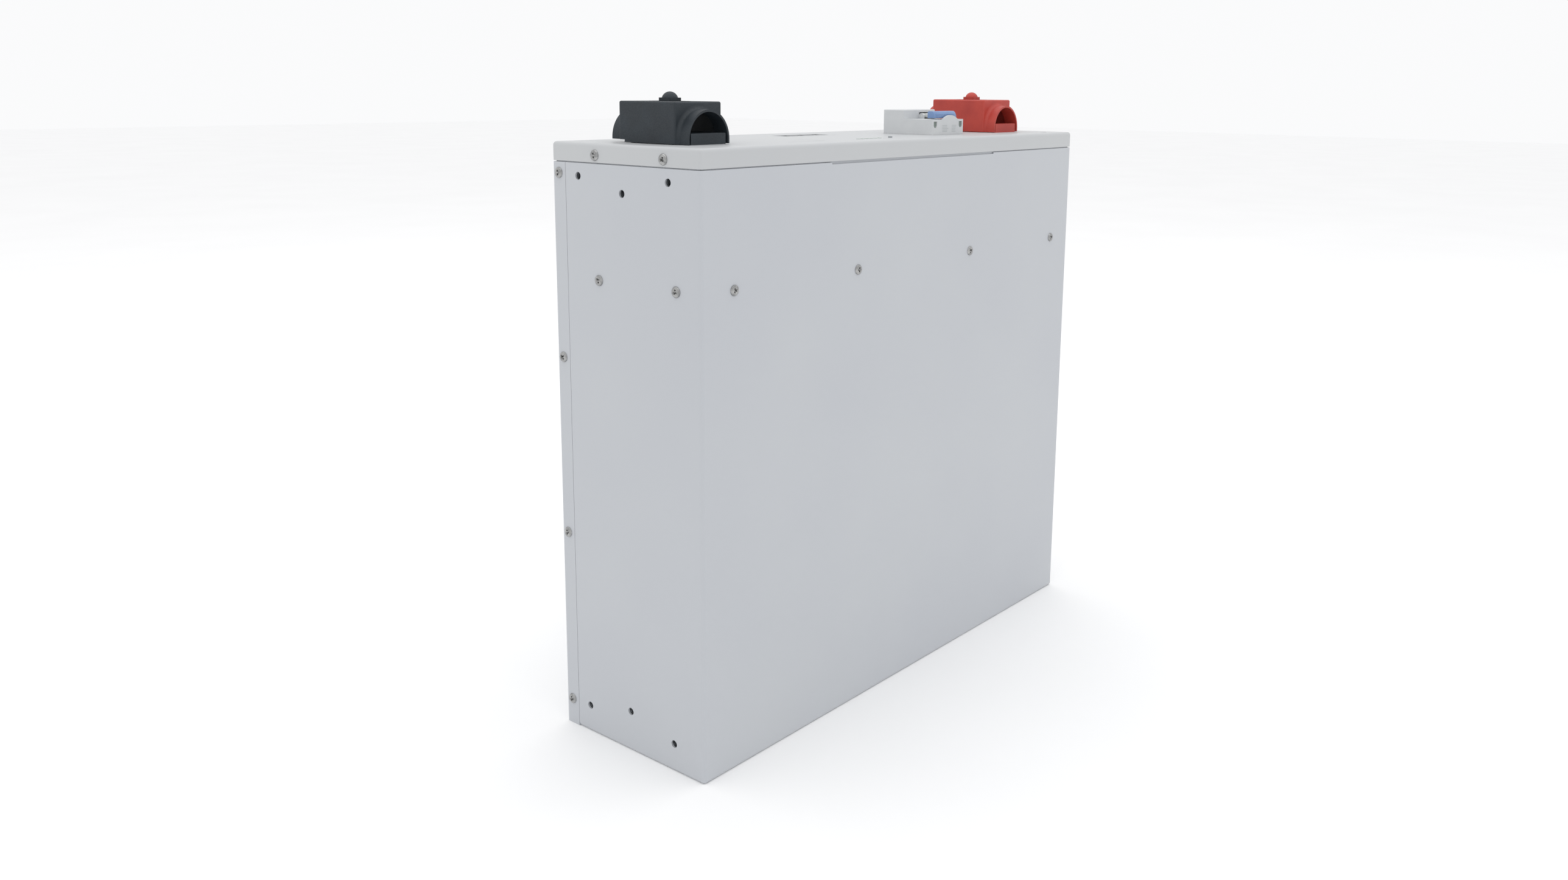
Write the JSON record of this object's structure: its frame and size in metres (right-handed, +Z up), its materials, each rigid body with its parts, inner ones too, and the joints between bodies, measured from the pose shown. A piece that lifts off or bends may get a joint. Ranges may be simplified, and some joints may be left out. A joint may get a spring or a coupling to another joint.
{
  "type": "rack battery module",
  "caption": "Sheet-steel rack battery box standing on its rear panel, with capped negative and positive terminals, a circuit breaker and data ports on its top panel.",
  "frame": {"origin": "centre of the bottom face, under the middle of the whole box", "axes": "+X along the width from the negative to the positive terminal, +Y towards the back cover, +Z up from the standing face to the terminals"},
  "size_m": [0.4446, 0.1356, 0.432],
  "materials": {
    "case_paint": "fine satin powder coat",
    "screw_nickel": "nickel plated",
    "galvanised_steel": "galvanised",
    "cell_can": "aluminium can in blue film",
    "end_plate_aluminium": "plain mill finish",
    "foam": "closed-cell sheet",
    "insulator": "glass-fibre sheet",
    "circuit_board": "solder mask",
    "copper": "copper bar",
    "stud_brass": "turned",
    "negative_plastic": "moulded, fine spark texture",
    "positive_plastic": "moulded, fine spark texture",
    "breaker_plastic": "moulded",
    "hub_plastic": "moulded",
    "toggle_plastic": "moulded",
    "jack_shield": "plated shield",
    "lamp_plastic": "clear light guide",
    "key_plastic": "moulded"
  },
  "bodies": {
    "case": {"back_cover": "case_paint", "base_foam": "foam", "bms_board": "circuit_board", "bms_heat_sink": "end_plate_aluminium", "board_return": "copper", "board_spacers": "screw_nickel", "breaker_body": "breaker_plastic", "breaker_feed": "copper", "cell_01": "cell_can", "cell_02": "cell_can", "cell_03": "cell_can", "cell_04": "cell_can", "cell_05": "cell_can", "cell_06": "cell_can", "cell_07": "cell_can", "cell_08": "cell_can", "cell_09": "cell_can", "cell_10": "cell_can", "cell_11": "cell_can", "cell_12": "cell_can", "cell_13": "cell_can", "cell_14": "cell_can", "cell_15": "cell_can", "cell_16": "cell_can", "cell_busbars": "copper", "cell_separators": "foam", "chassis": "case_paint", "comms_board": "circuit_board", "comms_jack_1": "jack_shield", "comms_jack_2": "jack_shield", "comms_jack_3": "jack_shield", "cover_screws": "screw_nickel", "din_rail": "galvanised_steel", "end_plates": "end_plate_aluminium", "insulator_board": "insulator", "lid_screws": "screw_nickel", "negative_base": "negative_plastic", "negative_link": "copper", "negative_stud": "stud_brass", "negative_stud_nuts": "screw_nickel", "partition": "case_paint", "partition_screws": "screw_nickel", "positive_base": "positive_plastic", "positive_link": "copper", "positive_stud": "stud_brass", "positive_stud_nuts": "screw_nickel", "rail_bridge": "galvanised_steel", "reset_key": "key_plastic", "row_divider": "foam", "status_lamps": "lamp_plastic", "steel_bands": "galvanised_steel", "top_panel": "case_paint", "weld_nuts": "screw_nickel"},
    "toggle": {"toggle_hub": "hub_plastic", "breaker_toggle": "toggle_plastic"},
    "negative_cap": {"negative_cover": "negative_plastic"},
    "negative_release": {"negative_cover_button": "negative_plastic"},
    "positive_cap": {"positive_cover": "positive_plastic"},
    "positive_release": {"positive_cover_button": "positive_plastic"},
    "reset": {"reset_button": "key_plastic"}
  },
  "joints": [
    {"name": "breaker_swing", "type": "hinge", "parent": "case", "child": "toggle", "pos_m": [0.0935, -0.0082, 0.4139], "axis": [-1, 0, 0], "range_deg": [0, 85]},
    {"name": "negative_cover_lift", "type": "slide", "parent": "case", "child": "negative_cap", "axis": [0, 0, 1], "range_m": [0, 0.06]},
    {"name": "negative_button_press", "type": "slide", "parent": "negative_cap", "child": "negative_release", "axis": [0, 0, -1], "range_m": [0, 0.0025], "stiffness_N_per_m": 400},
    {"name": "positive_cover_lift", "type": "slide", "parent": "case", "child": "positive_cap", "axis": [0, 0, 1], "range_m": [0, 0.06]},
    {"name": "positive_button_press", "type": "slide", "parent": "positive_cap", "child": "positive_release", "axis": [0, 0, -1], "range_m": [0, 0.0025], "stiffness_N_per_m": 400},
    {"name": "reset_press", "type": "slide", "parent": "case", "child": "reset", "axis": [0, 0, -1], "range_m": [0, 0.0008], "stiffness_N_per_m": 300}
  ]
}
